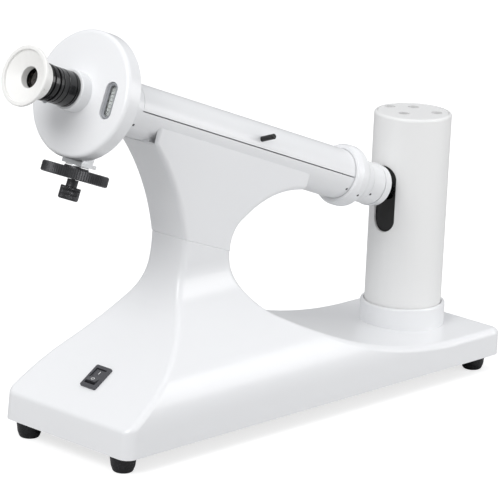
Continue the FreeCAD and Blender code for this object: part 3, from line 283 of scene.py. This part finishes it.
def add_text(form, text, place, height):
    """A printed number, centred on its place and read along the place's X."""
    curve = bpy.data.curves.new("text", "FONT")
    curve.body = text
    curve.size = height
    curve.align_x = "CENTER"
    curve.align_y = "CENTER"
    curve.extrude = INK / 2
    maker = bpy.data.objects.new("text", curve)
    mesh = bpy.data.meshes.new_from_object(maker)
    mesh.transform(place @ Matrix.Translation((0, 0, INK / 2)))
    form.from_mesh(mesh)
    bpy.data.objects.remove(maker)
    bpy.data.meshes.remove(mesh)


def finish_piece(name, form, body, material):
    """Turn a bmesh into a piece that rides on a body and takes a slot's finish."""
    mesh = bpy.data.meshes.new(name)
    bmesh.ops.recalc_face_normals(form, faces=form.faces)
    form.to_mesh(mesh)
    form.free()
    piece = bpy.data.objects.new(name, mesh)
    bpy.context.scene.collection.objects.link(piece)
    mesh.materials.append(material)
    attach(piece, body)


def on_face(station, radius, degrees):
    """A place on a face square to the optical axis: its X points out from the axis."""
    turn = Matrix.Rotation(math.radians(degrees), 4, "Z")
    out = Matrix.Translation((radius * MM, 0, 0))
    return TUBE @ Matrix.Translation((0, 0, station * MM)) @ turn @ out


# Millimetres, and degrees for a division.  A mark is its length and its width.
SCALE_STATION = 224.7
DIAL_MARK = (2.6, 0.16)
DIAL_MARK_AT_FIVES = (4.0, 0.32)
DIAL_MARKS_OUTER = 32.9
NUMBERS_RADIUS = 27.2
NUMBERS_HEIGHT = 1.9
VERNIER_MARK = (2.0, 0.16)
VERNIER_MARK_AT_FIVES = (3.0, 0.32)
VERNIER_INNER = 33.5
VERNIER_DIVISION = 0.95


def dial_scale():
    """Degree marks round the rim of the dial, longer at every fifth, with numbers at tens."""
    form = bmesh.new()
    for degree in range(360):
        length, width = DIAL_MARK if degree % 5 else DIAL_MARK_AT_FIVES
        place = on_face(SCALE_STATION, DIAL_MARKS_OUTER - length / 2, degree)
        add_mark(form, place, width * MM, length * MM)
    upright = Matrix.Rotation(math.radians(-90), 4, "Z")
    for degree in range(0, 360, 10):
        number = degree if degree <= 180 else 360 - degree
        place = on_face(SCALE_STATION, NUMBERS_RADIUS, degree) @ upright
        add_text(form, str(number), place, NUMBERS_HEIGHT * MM)
    finish_piece("dial_scale", form, "dial", BLACK_INK)


def vernier_scales():
    """Twenty vernier divisions over nineteen degrees, on each side of the dial."""
    form = bmesh.new()
    for middle in (90, -90):
        for step in range(-10, 11):
            length, width = VERNIER_MARK if step % 5 else VERNIER_MARK_AT_FIVES
            angle = middle + step * VERNIER_DIVISION
            place = on_face(SCALE_STATION, VERNIER_INNER + length / 2, angle)
            add_mark(form, place, width * MM, length * MM)
    finish_piece("vernier_scales", form, "stand", BLACK_INK)


# Slopes are in degrees and the rest is in millimetres.  A reach is a distance up the panel.
PANEL_SLOPE = 33.0
ROCKER_TILT = 10.0
WING_SLOPE = 9.87
WING_ROOT = 4.2
BAR_REACH = 3.6
BAR_WIDTH = 0.55
BAR_LENGTH = 2.8
RING_REACH = -3.9
RING_RADIUS = 1.25
RING_WIDTH = 0.55
RING_SIDES = 24
RING_SIDE = 0.4


def on_wing(reach):
    """A place on the rocker's face, this far up the panel from its pivot: X runs up the panel."""
    side = 1 if reach > 0 else -1
    pivot = Matrix.Translation(Vector(joints["switch_rock"]["pos_m"]))
    tilt = Matrix.Rotation(math.radians(ROCKER_TILT - PANEL_SLOPE), 4, "Y")
    rise = WING_ROOT + abs(reach) * math.tan(math.radians(WING_SLOPE))
    wing = Matrix.Rotation(math.radians(-side * WING_SLOPE), 4, "Y")
    return pivot @ tilt @ Matrix.Translation((reach * MM, 0, rise * MM)) @ wing


def rocker_marks():
    """The usual bar and ring on the two halves of the rocker."""
    form = bmesh.new()
    add_mark(form, on_wing(BAR_REACH), BAR_WIDTH * MM, BAR_LENGTH * MM)
    out = Matrix.Translation((RING_RADIUS * MM, 0, 0))
    for index in range(RING_SIDES):
        turn = Matrix.Rotation(math.tau * index / RING_SIDES, 4, "Z")
        add_mark(form, on_wing(RING_REACH) @ turn @ out, RING_SIDE * MM, RING_WIDTH * MM)
    finish_piece("rocker_marks", form, "switch_rocker", WHITE_INK)


# Heights along the knob's axis from its joint, a radius, depths and a pitch, in millimetres.
KNURL_LOW = -5.3
KNURL_HIGH = 4.0
KNURL_RADIUS = 7.45
KNURL_DEPTH = 0.45
KNURL_END_DEPTH = 0.1
KNURL_COUNT = 30
KNURL_PITCH = 1.5
KNURL_ROWS = 40
STEPS_PER_KNURL = 6


def triangle_wave(value):
    """0 at whole numbers, 1 half way between them."""
    return 1 - abs(2 * (value % 1) - 1)


def fine_knob_knurl():
    """A sleeve of raised diamonds round the fine knob, with its two ends inside the knob."""
    form = bmesh.new()
    around = KNURL_COUNT * STEPS_PER_KNURL
    rings = []
    for row in range(KNURL_ROWS + 1):
        height = KNURL_LOW + (KNURL_HIGH - KNURL_LOW) * row / KNURL_ROWS
        ring = []
        for column in range(around):
            turn = column / around
            waves = [triangle_wave(KNURL_COUNT * turn + way * height / KNURL_PITCH)
                     for way in (1, -1)]
            rise = KNURL_DEPTH * min(waves) if 0 < row < KNURL_ROWS else -KNURL_END_DEPTH
            radius = KNURL_RADIUS + rise
            angle = math.tau * turn
            place = Vector((radius * math.cos(angle), radius * math.sin(angle), height)) * MM
            ring.append(form.verts.new(FINE_KNOB @ place))
        rings.append(ring)
    for low, high in zip(rings, rings[1:]):
        for column in range(around):
            after = (column + 1) % around
            form.faces.new((low[column], low[after], high[after], high[column]))
    finish_piece("fine_knob_knurl", form, "fine_knob",
                 MATERIALS["black_anodised"])


# ---------------------------------------------------------------- studio
def area_light(name, place, target, size, power):
    """A soft box of this size, in metres, that shines at the target."""
    data = bpy.data.lights.new(name, "AREA")
    data.shape = "RECTANGLE"
    data.size, data.size_y = size
    data.energy = power
    light = bpy.data.objects.new(name, data)
    light.location = place
    light.rotation_euler = (Vector(place) - Vector(target)).to_track_quat("Z", "Y").to_euler()
    bpy.context.scene.collection.objects.link(light)


SEEN_WHITE = 1.1
ROOM_TINT = (0.97, 0.98, 1, 1)
GRADE_START = -0.4
ROOM_LOW = 0.05
ROOM_HIGH = 0.87


def white_room():
    """A world that looks pure white, and lights the object with a softer white."""
    world = bpy.data.worlds.new("studio")
    world.use_nodes = True
    tree = world.node_tree
    seen = tree.nodes["Background"]
    seen.inputs["Color"].default_value = (1, 1, 1, 1)
    seen.inputs["Strength"].default_value = SEEN_WHITE
    lighting = tree.nodes.new("ShaderNodeBackground")
    lighting.inputs["Color"].default_value = ROOM_TINT
    place = tree.nodes.new("ShaderNodeTexCoord")
    split = tree.nodes.new("ShaderNodeSeparateXYZ")
    grade = tree.nodes.new("ShaderNodeMapRange")
    grade.inputs["From Min"].default_value = GRADE_START
    grade.inputs["To Min"].default_value = ROOM_LOW
    grade.inputs["To Max"].default_value = ROOM_HIGH
    tree.links.new(place.outputs["Generated"], split.inputs["Vector"])
    tree.links.new(split.outputs["Z"], grade.inputs["Value"])
    tree.links.new(grade.outputs["Result"], lighting.inputs["Strength"])
    rays = tree.nodes.new("ShaderNodeLightPath")
    mix = tree.nodes.new("ShaderNodeMixShader")
    tree.links.new(rays.outputs["Is Camera Ray"], mix.inputs["Fac"])
    tree.links.new(lighting.outputs["Background"], mix.inputs[1])
    tree.links.new(seen.outputs["Background"], mix.inputs[2])
    tree.links.new(mix.outputs["Shader"], tree.nodes["World Output"].inputs["Surface"])
    bpy.context.scene.world = world


FLOOR_GREY = (0.5, 0.5, 0.5)
FLOOR_GLOW = 0.72
FLOOR_RADIUS = 6.0


def floor_material():
    """Pale matt floor that the camera sees nearly white, and that throws back less light."""
    material = new_material("floor_white", FLOOR_GREY, roughness=0.9)
    tree = material.node_tree
    glow = add_node(material, "ShaderNodeEmission")
    glow.inputs["Strength"].default_value = FLOOR_GLOW
    lit = add_node(material, "ShaderNodeAddShader")
    rays = add_node(material, "ShaderNodeLightPath")
    mix = add_node(material, "ShaderNodeMixShader")
    matt = shader_of(material).outputs["BSDF"]
    tree.links.new(matt, lit.inputs[0])
    tree.links.new(glow.outputs["Emission"], lit.inputs[1])
    tree.links.new(rays.outputs["Is Camera Ray"], mix.inputs["Fac"])
    tree.links.new(matt, mix.inputs[1])
    tree.links.new(lit.outputs["Shader"], mix.inputs[2])
    show(material, mix.outputs["Shader"])
    return material


# Each lamp's name, place, target and size, all in metres, and its power in watts.
LAMPS = (
    ("key", (-1.9, -0.4, 1.7), (0, 0, 0.15), (1.2, 1.2), 29),
    ("fill", (0.7, -2.0, 1.0), (0, 0, 0.15), (1.2, 1.0), 6.4),
    ("side", (1.2, -1.3, 0.5), (0.25, 0, 0.14), (0.8, 0.8), 7),
    ("top", (0.2, 0.3, 2.0), (0, 0, 0.15), (1.6, 1.2), 2),
)


def studio():
    """A white floor in a white room, and the lamps."""
    form = bmesh.new()
    bmesh.ops.create_circle(form, cap_ends=True, segments=64, radius=FLOOR_RADIUS)
    mesh = bpy.data.meshes.new("floor")
    form.to_mesh(mesh)
    form.free()
    floor = bpy.data.objects.new("floor", mesh)
    mesh.materials.append(floor_material())
    bpy.context.scene.collection.objects.link(floor)
    white_room()
    for lamp in LAMPS:
        area_light(*lamp)
    bpy.context.scene.view_settings.view_transform = "Standard"


# Angles in degrees, the distance and target in metres, the lens and sensor in millimetres.
CAMERA_AZIMUTH = -47.0
CAMERA_ELEVATION = 15.49
CAMERA_ROLL = 2.56
CAMERA_DISTANCE = 2.625
CAMERA_TARGET = Vector((0.00755, 0.0, 0.1299))
CAMERA_LENS = 237.887
SENSOR_WIDTH = 36.0


def place_camera():
    """A long lens that looks at its target from a little above, rolled slightly."""
    azimuth = math.radians(CAMERA_AZIMUTH)
    elevation = math.radians(CAMERA_ELEVATION)
    level = math.cos(elevation)
    away = Vector((math.sin(azimuth) * level, -math.cos(azimuth) * level, math.sin(elevation)))
    data = bpy.data.cameras.new("camera")
    data.lens = CAMERA_LENS
    data.sensor_width = SENSOR_WIDTH
    camera = bpy.data.objects.new("camera", data)
    camera.location = CAMERA_TARGET + away * CAMERA_DISTANCE
    roll = Quaternion((0, 0, 1), math.radians(CAMERA_ROLL))
    camera.rotation_euler = (away.to_track_quat("Z", "Y") @ roll).to_euler()
    bpy.context.scene.collection.objects.link(camera)
    bpy.context.scene.camera = camera


finish_cad_nodes()
dial_scale()
vernier_scales()
rocker_marks()
fine_knob_knurl()
studio()
place_camera()
